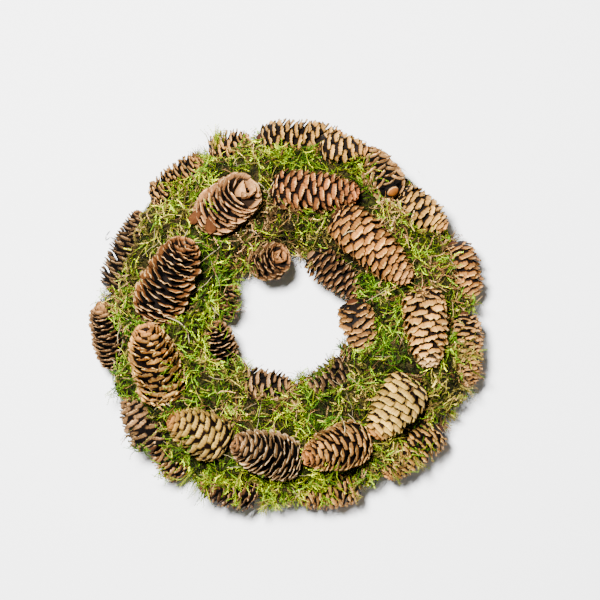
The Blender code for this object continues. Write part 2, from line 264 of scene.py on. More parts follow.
def scale_finish(name, root, face, lip, edge, tip, side_shade_from, root_shade_reach, low_light):
    """The finish of one cone. The table below says what each value is."""
    made, tree, shader = new_tree(name, 0.75, 0.1)
    marks = add_node(tree, "Attribute", attribute_name="marks")
    split = add_node(tree, "SeparateColor", {"Color": marks.outputs["Color"]})
    along, across, lot = (split.outputs[i] for i in range(3))
    grain_place = add_node(tree, "CombineXYZ", {0: across, 1: along, 2: lot})
    stretched = {0: grain_place.outputs[0], 1: FIBRE_STRETCH}
    stretch = add_node(tree, "VectorMath", stretched, operation="MULTIPLY")
    fibre = noise_at(tree, stretch.outputs[0], 1.6, 4.0, Roughness=0.65)
    place = add_node(tree, "TexCoord").outputs["Object"]
    spot = noise_at(tree, place, 260.0, 3.0)
    wander = ranged(tree, fibre, 0.3, 0.7, -0.04, 0.04)  # keeps the borders from being straight
    reach = add_node(tree, "Math", {0: along, 1: wander}, operation="ADD").outputs[0]
    ramp = add_node(tree, "ValToRGB", {"Fac": reach})
    stops = ramp.color_ramp.elements
    stops[0].position, stops[0].color = root_shade_reach, (*root, 1.0)
    stops[1].position, stops[1].color = 0.99, (*edge, 1.0)
    # the root colour and the dim band just past it are painted shade over the scale's own dark
    # brown, in the gap under the lip that covers it; the lip stop is lifted past its own colour as
    # a painted highlight
    between = (
        (root_shade_reach + 0.03, face, 0.4 * low_light), (root_shade_reach + 0.06, face, low_light),
        (0.915, face, 1.25 * low_light), (0.96, lip, 1.45),
    )
    for position, colour, light in between:
        stops.new(position).color = (*(min(c * light, 1.0) for c in colour), 1.0)
    colour = ramp.outputs["Color"]
    # tip scales: painted shade at the root, and a painted highlight towards the lip
    tip_colour = lit(tree, tip, ranged(tree, reach, 0.74, 0.9, 0.05, 1.3))
    at_tip = ranged(tree, marks.outputs["Alpha"], 0.84, 0.97, 0.0, 0.75)
    colour = mixed(tree, at_tip, colour, tip_colour)
    middle = add_node(tree, "Math", {0: across, 1: 0.5}, operation="SUBTRACT").outputs[0]
    aside = add_node(tree, "Math", {0: middle}, operation="ABSOLUTE").outputs[0]
    # painted shade on the sides of each scale, where neighbouring scales meet; then its own uneven
    # weathering, fibres and spots
    colour = lit(
        tree, colour,
        ranged(tree, aside, side_shade_from + 0.08, side_shade_from + 0.12, 1.05, 0.3),
        ranged(tree, lot, 0.0, 1.0, 0.6, 1.25),
        ranged(tree, fibre, 0.3, 0.72, 0.62, 1.2),
        ranged(tree, spot, 0.3, 0.7, 0.72, 1.18),
    )
    tree.links.new(colour, shader.inputs["Base Color"])
    tree.links.new(ranged(tree, fibre, 0.3, 0.7, 0.6, 0.85), shader.inputs["Roughness"])
    add_bump(tree, shader, fibre, 0.5, 0.0004)
    return made


# name: colour of the root, the scale's own dark brown deepened by painted shade, and of the
# face, lip and edge of a scale and of the cone's tip, then how far from a scale's middle the
# painted shade on its sides sets in, how far along the painted root shade reaches, and how
# light it is after that
SCALE_COLOURS = {
    "pale_straw": ((34, 17, 9), (242, 196, 114), (255, 222, 140), (50, 26, 15), (156, 88, 48),
        0.34, 0.725, 0.96),
    "deep_straw": ((30, 15, 9), (238, 190, 110), (255, 222, 140), (50, 26, 15), (150, 84, 46),
        0.32, 0.745, 0.92),
    "rose_tan": ((24, 12, 8), (200, 130, 84), (255, 200, 138), (64, 34, 22), (176, 104, 68),
        0.35, 0.725, 0.64),
    "warm_tan": ((26, 13, 8), (216, 148, 90), (255, 204, 134), (72, 40, 24), (216, 160, 108),
        0.35, 0.72, 0.66),
    "orange_tan": ((28, 14, 8), (255, 188, 116), (255, 222, 150), (100, 56, 32), (255, 214, 156),
        0.36, 0.715, 0.86),
    "golden": ((28, 14, 8), (244, 178, 112), (255, 222, 156), (136, 84, 48), (156, 86, 46),
        0.35, 0.715, 0.84),
    "beige_dark": ((18, 11, 8), (200, 154, 106), (255, 230, 184), (186, 148, 110), (136, 86, 52),
        0.34, 0.71, 0.9),
    "orange_brown": ((30, 15, 9), (255, 192, 116), (255, 224, 156), (130, 74, 44), (214, 142, 90),
        0.37, 0.7, 1.15),
    "open_dark": ((18, 11, 8), (166, 108, 66), (255, 212, 154), (214, 166, 116), (176, 116, 74),
        0.3, 0.66, 0.8),
    "rosette": ((22, 12, 8), (240, 172, 118), (255, 218, 166), (116, 70, 42), (236, 178, 126),
        0.36, 0.7, 0.76),
    "edge_tan": ((22, 13, 8), (232, 174, 104), (255, 214, 140), (68, 38, 24), (208, 142, 92),
        0.35, 0.715, 0.82),
    "edge_brown": ((20, 12, 8), (214, 158, 100), (255, 208, 142), (82, 50, 34), (182, 124, 80),
        0.36, 0.68, 0.95),
    "edge_dark": ((16, 10, 8), (204, 154, 104), (255, 214, 158), (150, 90, 46), (160, 104, 66),
        0.36, 0.66, 0.9),
    "edge_grey": ((18, 11, 8), (196, 150, 106), (244, 200, 148), (94, 62, 40), (166, 116, 74),
        0.34, 0.69, 0.78),
    "hole_dark": ((16, 10, 7), (140, 98, 66), (232, 182, 132), (134, 100, 70), (160, 108, 70),
        0.3, 0.69, 0.56),
    "hole_tan": ((20, 12, 8), (178, 126, 78), (250, 196, 130), (80, 46, 28), (196, 142, 96),
        0.34, 0.73, 0.64),
    "red_scale": ((60, 32, 18), (116, 72, 45), (158, 106, 70), (50, 28, 18), (130, 84, 54),
        0.36, 0.12, 0.72),
    "hole_grey": ((18, 11, 8), (150, 116, 82), (220, 180, 134), (86, 58, 40), (154, 110, 74),
        0.34, 0.7, 0.56),
}
FINISHES = {
    name: scale_finish(name, *(paint(*colour) for colour in row[:5]), *row[5:])
    for name, row in SCALE_COLOURS.items()
}
print("scale finishes:", len(FINISHES))

# %% [markdown]
# ## Where each cone lies
# The solid of a cone already lies in its place. The two points at its ends are the
# only ones on its axis, so the outermost points along its rough direction give the
# axis exactly. The table has a line for each cone, row by row and clockwise from the
# top. It gives that direction, as the way the tip points on the floor and how far it is
# raised, and then how the cone looks: its finish, the size of one scale in millimetres,
# how far the scales stand open at the stalk and at the tip, how wavy their lips are and
# how blunt the cone's tip is.

# %% Cones and their looks
LOOKS = {
    "face": (
        (-3, 7, "rose_tan", 10.2, 0.45, 0.3, 0.5, 0.1),
        (-42, 7, "warm_tan", 10.4, 0.35, 0.25, 0.6, 0.0),
        (-85, 10, "orange_tan", 10.6, 0.3, 0.3, 1.2, 0.0),
        (-127, 4, "pale_straw", 11.2, 0.2, 0.2, 0.2, 0.0),
        (-164, 25, "golden", 9.4, 0.5, 0.3, 0.45, 0.0),
        (162, 25, "beige_dark", 9.4, 0.75, 0.4, 0.4, 0.1),
        (155, 15, "deep_straw", 10.4, 0.2, 0.2, 0.2, 0.0),
        (104, 29, "orange_brown", 10.4, 0.3, 0.45, 0.9, 0.3),
        (62, 27, "open_dark", 10.6, 1.05, 0.8, 0.6, 0.3),
        (34, 48, "rosette", 10.8, 0.9, 0.7, 0.4, 0.9),
    ),
    "outer": (
        (1, -3, "edge_tan", 10.4, 0.8, 0.7, 0.8, 0.1),
        (-4, -2, "edge_tan", 11.0, 0.25, 0.2, 0.5, 0.0),
        (123, -35, "edge_dark", 9.4, 1.6, 1.4, 0.4, 0.1),
        (-35, -5, "edge_tan", 10.2, 0.45, 0.35, 0.8, 0.0),
        (-68, -4, "warm_tan", 9.6, 0.5, 0.4, 0.7, 0.1),
        (-86, -5, "edge_brown", 8.4, 0.9, 0.8, 0.6, 0.1),
        (-139, 0, "edge_tan", 8.8, 0.8, 0.7, 0.6, 0.2),
        (-169, 0, "edge_brown", 8.6, 0.9, 0.8, 0.6, 0.1),
        (168, 4, "hole_dark", 8.6, 0.8, 0.7, 0.6, 0.1),
        (136, 0, "edge_dark", 8.4, 0.9, 0.8, 0.6, 0.1),
        (118, -10, "edge_grey", 10.6, 0.7, 0.7, 0.8, 0.1),
        (102, 24, "edge_grey", 8.4, 0.6, 0.6, 0.5, 0.6),
        (70, -4, "hole_grey", 8.6, 1.0, 0.8, 0.3, 0.1),
        (43, 8, "edge_brown", 8.6, 0.8, 0.7, 0.6, 0.1),
        (19, 0, "edge_brown", 8.4, 0.9, 0.8, 0.6, 0.1),
    ),
    "inner": (
        (21, 46, "hole_dark", 8.2, 0.9, 0.8, 0.4, 0.8),
        (-39, -10, "hole_dark", 8.6, 1.1, 0.9, 0.4, 0.2),
        (-74, -18, "hole_tan", 10.0, 0.6, 0.35, 0.9, 0.0),
        (161, -4, "hole_dark", 7.6, 0.9, 0.8, 0.4, 0.1),
        (-151, 0, "hole_grey", 9.0, 0.8, 0.6, 0.5, 0.1),
        (-1, 4, "edge_grey", 11.2, 0.5, 0.7, 0.5, 0.1),
        (101, 25, "edge_grey", 8.8, 1.0, 0.8, 0.4, 0.2),
        (70, 0, "hole_dark", 8.0, 1.0, 0.8, 0.4, 0.1),
    ),
}
CONES = {f"cone_{row}_{i:02d}": look for row in LOOKS for i, look in enumerate(LOOKS[row], 1)}
SPREAD = 1.02  # how far the widest scale of a solid stands out past the others


def lie_of(node, heading, raised):
    """Where a cone's stalk end is, the way its tip points, its length and half its width."""
    corners = corners_of(node)
    places = corners @ way_of(heading, raised)
    stalk, tip = corners[places.argmin()], corners[places.argmax()]
    ahead = unit(tip - stalk)
    off = corners - stalk
    off -= np.outer(off @ ahead, ahead)
    return stalk, ahead, np.linalg.norm(tip - stalk), np.linalg.norm(off, axis=1).max() / SPREAD


# %% [markdown]
# ## A scale and its place on the cone
# The scales of a cone grow one after the other at the same turn, about 137.5 degrees,
# and that alone gives the crossing spirals. The nearer the axis, the less room there
# is, so the scales there are smaller. Each scale is a thin plate with a round blunt
# end. It leaves the core outward and bends up towards the tip, a little in a closed
# cone and hardly at all in an open one, which a curve with three handles can do. Where
# one looks onto the end of a blunt cone, its last scales stand together as a bud.

# %% Scales round a cone
GOLDEN_TURN = math.radians(137.508)
# how wide a cone is along its length, and what a blunt tip adds to that
PROFILE = (
    (0, 0.5), (0.06, 0.78), (0.18, 0.97), (0.32, 1.0), (0.55, 0.95),
    (0.75, 0.8), (0.9, 0.56), (0.97, 0.36), (1, 0.08),
)
BLUNTED = ((0.5, 0.0), (0.72, 0.12), (0.86, 0.27), (0.94, 0.27), (1.0, 0.0))
# rows of points along a scale and across it, its breadth at each, how far the corners of its
# lip fall short, and how a wavy lip stands out and in
ALONG = np.array([0.1, 0.5, 0.76, 0.92, 1.0])
ACROSS = np.array([-1.0, -0.55, 0.0, 0.55, 1.0])
BREADTH = np.array([0.35, 0.78, 1.0, 0.98, 0.7])
LIP_BACK = np.array([0.11, 0.035, 0.0, 0.035, 0.11])
LOBES = np.array([0.7, -0.6, 0.5, -0.6, 0.7])
AT_LIP = ALONG[:, None] > 0.99
HALF_SCALE = 0.72  # half the width of a scale, as a share of its size
CLOSED_LEAN, OPEN_LEAN = 13, 56  # degrees that a closed scale leans out, and an open one more
TIP_FOLD, BLUNT_FOLD = 46.0, 34.0  # degrees that they fold in at the tip, and at a blunt one more
# the bud in a blunt tip: its radius at the lips and at the roots, how far it rises past the
# other scales and how deep it reaches, all as shares of half the cone's width
BUD_RADIUS, BUD_ROOT, BUD_RISE, BUD_DEPTH = 0.24, 0.3, 0.12, 0.7


def girth_share(share, blunt):
    plain, added = (np.interp(share, *np.array(line).T) for line in (PROFILE, BLUNTED))
    return plain + blunt * added


def scale_heights(length, half, size, blunt):
    """Where along the axis each scale ends, so that each has the room of one scale."""
    heights = np.linspace(0.035, 1.0, 800) * length
    girth = girth_share(heights / length, blunt)
    room = (size * np.maximum(0.45 + 0.55 * girth, 1.05 * blunt)) ** 2
    outline = np.hypot(np.gradient(heights), half * np.gradient(girth))
    count = np.cumsum(2 * math.pi * half * girth / room * outline)
    return np.interp(np.arange(int(count[-1])) + 0.5, count, heights)


def bent(root, knee, end, share):
    """Points of a curve with three handles."""
    a, b, c = (1 - share) ** 2, 2 * share * (1 - share), share**2
    return a * root[:, None] + b * knee[:, None] + c * end[:, None]


def cone_shape(length, half, size, open_stalk, open_tip, wavy, blunt, seed):
    """Points of all scales of a cone along Z, as scale, side, along, across and xyz."""
    rng = np.random.default_rng(seed)
    high = scale_heights(length, half, size, blunt)
    count = len(high)
    share = high / length
    girth = girth_share(share, blunt)
    opened = open_stalk + (open_tip - open_stalk) * share + rng.normal(0, 0.07, count)
    turn = np.arange(count) * GOLDEN_TURN + rng.uniform(0, 6.3) + rng.normal(0, 0.05, count)
    radius = half * girth * (1 + rng.normal(0, 0.035, count))
    core = np.minimum(half * 0.3 * (1 - 0.5 * share), radius * 0.5)

    # the last scales of a blunt tip close to a bud
    bud = np.interp(share, (0.955, 0.965), (0.0, 1.0)) * (blunt > 0.5)
    radius = radius + bud * (BUD_RADIUS * half - radius)
    core = core + bud * (BUD_ROOT * half - core)
    high = high + bud * BUD_RISE * half

    # each scale's path from the core to its lip, as distance from the axis and height
    folded = np.interp(share, (0.93 - 0.12 * blunt, 0.99), (0.0, 1.0))
    closing = folded * (TIP_FOLD + BLUNT_FOLD * blunt)
    lean = np.radians(np.clip(CLOSED_LEAN + OPEN_LEAN * opened, 8, 105) - closing)
    drop = half * np.maximum(1.2 - 0.8 * opened, -0.15) * (0.6 + 0.4 * girth)
    root_high = np.maximum(high - np.maximum(drop, BUD_DEPTH * half * bud), 0.01 * length)
    knee_back = 0.5 * np.hypot(radius - core, high - root_high)
    knee_radius = np.maximum(radius - knee_back * np.sin(lean), core)
    knee_high = np.maximum(high - knee_back * np.cos(lean), root_high)
    r = bent(core, knee_radius, radius, ALONG[None, :])
    z = bent(root_high, knee_high, high, ALONG[None, :])
    way_r, way_z = np.gradient(r, axis=1), np.gradient(z, axis=1)
    steep = np.maximum(np.hypot(way_r, way_z), 1e-9)
    way_r, way_z = way_r / steep, way_z / steep

    # its breadth, and how it is tilted, hollowed and waved
    room = np.maximum(0.5 + 0.5 * girth, 1.05 * blunt)
    wide = HALF_SCALE * size * room * (1 + rng.normal(0, 0.08, count))
    square = np.interp(wavy, (0.2, 0.4), (1.0, 0.0))  # a smooth scale ends nearly straight
    breadth = BREADTH + 0.25 * square * (ALONG > 0.99)
    offset = wide[:, None, None] * breadth[:, None] * ACROSS
    tilt = rng.normal(0, 0.07 + 0.08 * wavy, (count, 1, 1)) * offset
    hollow = offset**2 / (2.3 * np.maximum(radius, 0.35 * half))[:, None, None]
    late = np.interp(ALONG, (0.6, 1.0), (0.0, 1.0))[:, None]
    hollow -= LOBES * late * wavy * rng.uniform(0.3, 1.5, (count, 1, 1))
    hollow += rng.normal(0, 0.2 + 0.3 * wavy, offset.shape) * late
    back = LIP_BACK * (1 - 0.5 * wavy) * (1 - 0.7 * square) + 0.03 * wavy * LOBES
    back = back + rng.normal(0, 0.012 + 0.02 * wavy, (count, 1, 5))
    back = np.where(AT_LIP, back, 0.0) * 1.6 * size

    # its outside and its inside, which is thinnest at the lip
    sides = []
    for thick in (0.0, 1.0):
        inward = hollow + thick * np.interp(ALONG, (0, 0.8, 1), (1.0, 0.6, 0.28))[:, None]
        out = r[..., None] - way_z[..., None] * inward - way_r[..., None] * back
        up = z[..., None] + way_r[..., None] * inward - way_z[..., None] * back + tilt
        c, n = np.cos(turn)[:, None, None], np.sin(turn)[:, None, None]
        sides.append(np.stack((out * c - offset * n, out * n + offset * c, up), -1))
    points = np.stack(sides, 1)
    marks = np.empty(points.shape[:-1] + (4,))
    # folded tip scales and the bud show more of themselves, so less of them takes the painted root
    # shade
    root_shade_part = ((1 - 0.5 * blunt * folded) * (1 - 0.55 * bud))[:, None, None, None]
    marks[..., 0] = 1 - (1 - ALONG[:, None]) * root_shade_part
    marks[..., 1] = ACROSS / 2 + 0.5
    marks[..., 2] = rng.uniform(0, 1, (count, 1, 1, 1))
    marks[..., 3] = share[:, None, None, None]
    return points.reshape(-1, 3), marks.reshape(-1, 4), count


def plate_faces():
    """Faces of one scale: its outside, its inside and the rim between them."""
    def at(side, i, j):
        return side * 25 + i * 5 + j

    faces = []
    for i in range(4):
        for j in range(4):
            faces.append((at(0, i, j), at(0, i, j + 1), at(0, i + 1, j + 1), at(0, i + 1, j)))
            faces.append((at(1, i, j), at(1, i + 1, j), at(1, i + 1, j + 1), at(1, i, j + 1)))
        faces.append((at(0, i, 0), at(0, i + 1, 0), at(1, i + 1, 0), at(1, i, 0)))
        faces.append((at(0, i, 4), at(1, i, 4), at(1, i + 1, 4), at(0, i + 1, 4)))
    for j in range(4):
        faces.append((at(0, 4, j), at(0, 4, j + 1), at(1, 4, j + 1), at(1, 4, j)))
    return np.array(faces)


PLATE = plate_faces()

# %% [markdown]
# ## The core and the whole cone
# Between open scales the eye looks down to the core that carries them. It is a plain
# spindle in the scales' root colour, dark brown deepened by painted shade, and it also
# keeps light from passing through the cone. The local shape is then turned along the axis
# and set where its solid lies.

# %% Build the cones
CORE_SIDES = 10
SHARP = 55  # degrees from which an edge of a scale stays sharp


def tube_walls(rings, sides):
    """The faces round a tube whose points come ring by ring."""
    start, here = np.arange(rings - 1)[:, None] * sides, np.arange(sides)
    there = (here + 1) % sides
    corners = start + here, start + there, start + sides + there, start + sides + here
    return np.stack(corners, -1).reshape(-1, 4)


def core_shape(length, half):
    """A dark spindle along the axis, with a brown domed scar where the stalk broke off."""
    heights = np.array([-0.03, -0.012, 0.01, 0.06, 0.3, 0.6, 0.85, 0.97]) * length
    thick = np.array([0.12, 0.25, 0.3, 0.34, 0.3, 0.22, 0.14, 0.03]) * half
    angle = np.arange(CORE_SIDES) * math.tau / CORE_SIDES
    round_it = np.outer(thick, np.cos(angle)), np.outer(thick, np.sin(angle))
    points = np.stack((*round_it, heights[:, None] + 0 * angle), -1).reshape(-1, 3)
    walls = tube_walls(len(heights), CORE_SIDES)
    # the spindle takes the scales' root colour, which is painted shade
    marks = np.tile((0.3, 0.5, 0.5, 0.5), (len(points), 1))
    marks[: 3 * CORE_SIDES, 0] = 1.0  # the scar
    return points, [walls, np.arange(CORE_SIDES)[None, ::-1]], marks


def turned(points, stalk, ahead):
    """Points along Z, turned so that Z points ahead, and set down at the stalk."""
    side = unit(np.cross((0.0, 0.0, 1.0), ahead))
    return points @ np.array([side, np.cross(ahead, side), ahead]) + stalk


def add_cone(node, seed):
    heading, raised, finish, *look = CONES[node]
    stalk, ahead, length, half = lie_of(node, heading, raised)
    length, half = length / MM, half / MM
    points, marks, count = cone_shape(length, half, *look, seed)
    plates = (PLATE[None] + 50 * np.arange(count)[:, None, None]).reshape(-1, 4)
    core = core_shape(length, half)
    parts = [
        (turned(points * MM, stalk, ahead), [plates], marks),
        (turned(core[0] * MM, stalk, ahead), *core[1:]),
    ]
    name = node.replace("cone", "scaled_cone")
    made = add_piece(name, parts, FINISHES[finish], sharp_above=SHARP)
    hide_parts(node)
    return count


scale_count = sum(add_cone(node, seed) for seed, node in enumerate(CONES))
print("cones:", len(CONES), "scales:", scale_count)

# %% [markdown]
# ## The finish of moss
# Dried moss is matt. Each strand is painted darker at its root than at its leaf ends, as
# shade deep in the moss. A strand's tint, with the painted light and shade of its place, is
# set when it is grown, so the nodes only add the fine speckle and that painted root shade.
# The old moss packed below it is a felt whose near-black is painted shade between the
# strands, which a distorted noise gives well.

# %% Moss finish
def moss_finish(name, low_light, high_light):
    made, tree, shader = new_tree(name, 0.8, 0.08)
    marks = add_node(tree, "Attribute", attribute_name="marks")
    place = add_node(tree, "TexCoord").outputs["Object"]
    speck = noise_at(tree, place, 900.0, 2.0)
    # painted shade: each strand dark at its root and lighter towards its ends
    colour = lit(
        tree, marks.outputs["Color"],
        ranged(tree, marks.outputs["Alpha"], 0.0, 0.85, low_light, high_light),
        ranged(tree, speck, 0.3, 0.7, 0.7, 1.25),
    )
    tree.links.new(colour, shader.inputs["Base Color"])
    tree.links.new(ranged(tree, speck, 0.3, 0.7, 0.6, 0.8), shader.inputs["Roughness"])
    add_bump(tree, shader, speck, 0.3, 0.0002)
    return made


def packed_shade_finish():
    """Old packed moss in the shade: a felt, near-black as painted shade, with a few lighter
    threads.
    """
    made, tree, shader = new_tree("packed_moss", 0.9, 0.1)
    place = add_node(tree, "TexCoord").outputs["Object"]
    felt = noise_at(tree, place, 520.0, 6.0, Roughness=0.75, Distortion=1.5)
    patch = noise_at(tree, place, 60.0, 2.0)
    light = mixed(tree, ranged(tree, patch, 0.35, 0.65), paint(86, 96, 38), paint(92, 74, 46))
    # near-black painted shade between the strands, broken by the moss's own greens and browns
    dark = mixed(tree, ranged(tree, felt, 0.4, 0.68), paint(12, 11, 7), light)
    tree.links.new(dark, shader.inputs["Base Color"])
    add_bump(tree, shader, felt, 1.0, 0.002)
    return made


MOSS = moss_finish("dried_moss", 0.12, 1.12)
STALK = moss_finish("dry_stalk", 0.7, 1.05)
PACKED_SHADE = packed_shade_finish()

# %% [markdown]
# ## Where the moss takes which tint
# Moss from a forest floor is never one green. Some patches are fresh and yellow-green,
# some olive, some already straw brown, and they melt into each other. Each strand draws
# its tint by lot, and the patches near it only weigh the lot.

# %% Tints and patches
TINTS = {
    "fresh": (paint(168, 190, 50), paint(130, 162, 42), paint(216, 222, 78)),
    "green": (paint(92, 126, 46), paint(62, 92, 36), paint(136, 166, 66)),
    "olive": (paint(162, 146, 80), paint(120, 110, 56), paint(204, 184, 106)),
    "dry": (paint(158, 122, 82), paint(108, 76, 48), paint(190, 154, 108)),
    "dark": (paint(60, 54, 28), paint(40, 34, 20), paint(82, 76, 38)),
}
KINDS = list(TINTS)
USUAL = np.array([0.3, 0.26, 0.12, 0.18, 0.14])  # how common each kind is anywhere
# where each kind is common: x and y of the middle, and reach, in millimetres
PATCHES = {
    "fresh": (
        (-112, 122, 30), (-66, 146, 20), (-2, 142, 18), (58, 136, 18), (128, 66, 22),
        (-2, -88, 18), (-66, -24, 22), (-18, -152, 26), (36, -144, 26),
    ),
    "olive": (
        (-98, 108, 20), (-128, 88, 24), (-134, 54, 20), (32, 68, 22), (160, -46, 26),
        (142, -66, 22), (70, -78, 24), (-60, -48, 18), (-28, -168, 16), (84, -124, 20),
    ),
    "green": (
        (-72, 34, 22), (-70, 60, 18), (-88, 116, 22), (10, 138, 18), (76, 118, 18), (62, 42, 20),
        (148, -22, 20), (98, -22, 22), (84, -50, 22), (24, -84, 22), (78, 14, 16), (-74, -66, 22),
        (-138, -54, 26), (-116, -88, 20), (-84, -140, 24), (-62, -146, 26), (60, -132, 24),
        (-146, -16, 16),
    ),
    "dry": (
        (-44, 74, 22), (-28, 66, 20), (90, 98, 20), (126, 40, 20), (-14, -68, 20), (-62, -92, 22),
    ),
    "dark": (
        (-4, 84, 24), (30, 88, 20), (132, -92, 26), (56, -52, 20), (84, -4, 16),
    ),
}
PATCH_WEIGHT = 1.3  # against the usual shares


def drawn_tints(weights, rng):
    lot = rng.uniform(0, 1, (len(weights), 1)) * weights.sum(1, keepdims=True)
    picked = (np.cumsum(weights, 1) < lot).sum(1)
    choices = np.array([TINTS[kind] for kind in KINDS])
    tints = choices[picked, rng.integers(0, 3, len(weights))]
    return tints * rng.uniform(0.42, 1.5, (len(weights), 1))


def tints_at(points, rng):
    """A tint for each strand, drawn by lot that the patches near it weigh."""
    weights = np.tile(USUAL, (len(points), 1))
    x, y = points[:, 0] / MM, points[:, 1] / MM
    for kind, patches in PATCHES.items():
        for patch_x, patch_y, reach in patches:
            near = np.exp(-((x - patch_x) ** 2 + (y - patch_y) ** 2) / reach**2)
            weights[:, KINDS.index(kind)] += PATCH_WEIGHT * near
    return drawn_tints(weights, rng)


# %% [markdown]
# ## A sprig of moss
# Under a lens a strand of this moss is a thin bent stem with short narrow leaves on
# both sides, like a feather. The stem is a tube of three sides that ends in a point,
# and a leaf is a single triangle. That is little enough to afford many thousands of
# sprigs, and from arm's length they read as moss.

# %% Stems, leaves and sprigs
WANDER = 0.16  # how far a stem strays from its curve at each step
ASKEW = (0.31, 0.52, 0.79)  # a direction that no stem follows for long
STEM_SIDES = 3
STEM_RADIUS, LEAF_LENGTH, LEAF_HALF_WIDTH = 0.34 * MM, 2.3 * MM, 0.46 * MM


def grown(starts, ways, lengths, curl, sag, steps, rng):
    """Paths that start one way and bend as they grow, as stem, step and xyz."""
    path = np.empty((len(starts), steps + 1, 3))
    path[:, 0] = starts
    turn = unit(rng.normal(size=starts.shape)) * np.asarray(curl).reshape(-1, 1) + sag
    for step in range(steps):
        path[:, step + 1] = path[:, step] + ways * np.asarray(lengths).reshape(-1, 1) / steps
        ways = unit(ways + turn / steps + rng.normal(0, WANDER, starts.shape))
    return path


def stems(path, thick, tints, taper=0.5):
    """Tubes round the paths. Each thins out and ends in a point."""
    count, rings = path.shape[0], path.shape[1] - 1
    way = unit(np.gradient(path, axis=1))
    side = unit(np.cross(way, ASKEW))
    other = np.cross(way, side)
    angle = np.arange(STEM_SIDES)[:, None] * math.tau / STEM_SIDES
    rim = np.cos(angle) * side[:, :-1, None] + np.sin(angle) * other[:, :-1, None]
    girth = np.asarray(thick).reshape(-1, 1, 1, 1) * np.linspace(1.0, taper, rings)[:, None, None]
    rim = path[:, :-1, None] + girth * rim
    points = np.concatenate((rim.reshape(count, -1, 3), path[:, -1:]), 1)
    each = rings * STEM_SIDES + 1
    first = each * np.arange(count)[:, None, None]
    here = np.arange(STEM_SIDES)
    last = (rings - 1) * STEM_SIDES
    ends = np.stack((last + here, last + (here + 1) % STEM_SIDES, here * 0 + each - 1), -1)
    faces = [(tube_walls(rings, STEM_SIDES) + first).reshape(-1, 4), (ends + first).reshape(-1, 3)]
    marks = np.empty((count, each, 4))
    marks[..., :3] = tints[:, None]
    # how far along the stem, which the finish turns into painted shade at the root
    marks[..., 3] = np.append(np.repeat(np.arange(rings) / rings, STEM_SIDES), 1.0)
    return points.reshape(-1, 3), faces, marks.reshape(-1, 4)


def sprigs(starts, ways, lengths, tints, rng, leaf_count=10, curl=2.8, sag=0.0, steps=4):
    """Feathery sprigs as two parts, the stems and the leaves."""
    count = len(starts)
    path = grown(starts, ways, lengths, rng.uniform(0.4, curl, count), sag, steps, rng)
    at = np.linspace(0.1, 0.97, leaf_count) * steps
    low = at.astype(int)
    bases = path[:, low] + (path[:, low + 1] - path[:, low]) * (at - low)[:, None]
    ahead = unit(path[:, low + 1] - path[:, low])
    flat = unit(np.cross(ahead, unit(rng.normal(size=(count, 1, 3)))))
    hand = np.where(np.arange(leaf_count) % 2, 1.0, -1.0)[:, None]
    out = unit(ahead * 1.3 + flat * hand + rng.normal(0, 0.3, bases.shape))
    across = unit(np.cross(out, rng.normal(size=bases.shape))) * LEAF_HALF_WIDTH
    long = LEAF_LENGTH * (1.15 - 0.6 * at / steps) * rng.uniform(0.6, 1.3, (count, leaf_count))
    points = np.stack((bases - across, bases + across, bases + out * long[..., None]), -2)
    marks = np.empty((count, leaf_count, 3, 4))
    marks[..., :3] = (tints[:, None] * rng.uniform(0.55, 1.45, (count, leaf_count, 1)))[:, :, None]
    # how far out along the sprig, which the finish turns into painted shade at the root
    marks[..., 3] = np.minimum(0.15 + (at / steps)[:, None] * 0.6 + np.array([0.0, 0.0, 0.4]), 1.0)
    faces = [np.arange(points.size // 3).reshape(-1, 3)]
    return [stems(path, STEM_RADIUS, tints), (points.reshape(-1, 3), faces, marks.reshape(-1, 4))]


# %% [markdown]
# ## The bunches of moss
# Every bunch has its solid, so the sprigs grow from the outside of that solid, evenly
# over its area. A root that lies under a cone is skipped, because nobody would see it
# and its leaves would come out through the scales. Below the sprigs lies a lumpy bed, a
# little inside the solid, that closes the last gaps as old packed moss does; its dark
# colour is painted shade between the strands.

# %% Roots on the outside of a bunch
# the centre line of the straw: its radius, how high it lies and the middle that it goes round
RING_RADIUS, RING_HEIGHT = 0.112, 0.024
RING_MIDDLE = np.array((1.138 * MM, -2.187 * MM))
PAST_STRAW = 0.0268  # how far from the ring's centre line moss shows outside the straw
CONE_SURFACES = surface_of(list(CONES))


def from_ring(points):
    """The way from the ring's centre line out to each point, and how far that is."""
    plan = points[:, :2] - RING_MIDDLE
    line = unit(plan) * RING_RADIUS + RING_MIDDLE
    out = points - np.column_stack((line, np.full(len(points), RING_HEIGHT)))
    return unit(out), np.linalg.norm(out, axis=1)


def from_middle(points):
    """How far each point is from the middle of the wreath, seen from above."""
    return np.linalg.norm(points[:, :2] - RING_MIDDLE, axis=1)


def outside_of(node):
    """The triangles of a bunch that face away from the straw, their areas and their normals."""
    triangles = corners_of(node)[triangles_of(node)]
    cross = np.cross(triangles[:, 1] - triangles[:, 0], triangles[:, 2] - triangles[:, 0])
    middles = triangles.mean(1)
    out, far = from_ring(middles)
    shown = (np.sum(unit(cross) * out, 1) > 0.15) & (far > PAST_STRAW)
    return triangles[shown], np.linalg.norm(cross[shown], axis=1) / 2, unit(cross[shown])


def roots_on(node, density, rng):
    """Points spread evenly over the outside, and the way out of the moss at each."""
    triangles, areas, normals = outside_of(node)
    count = int(areas.sum() / MM**2 * density)
    picked = rng.choice(len(areas), count, p=areas / areas.sum())
    a, b = rng.uniform(0, 1, (2, count))
    a, b = np.where(a + b > 1, 1 - a, a)[:, None], np.where(a + b > 1, 1 - b, b)[:, None]
    corners = triangles[picked]
    roots = corners[:, 0] * (1 - a - b) + corners[:, 1] * a + corners[:, 2] * b
    return roots, unit(normals[picked] + from_ring(roots)[0])


def lying(out, rng):
    """Ways that lie along a surface, any way round."""
    return unit(np.cross(out, rng.normal(size=out.shape)))


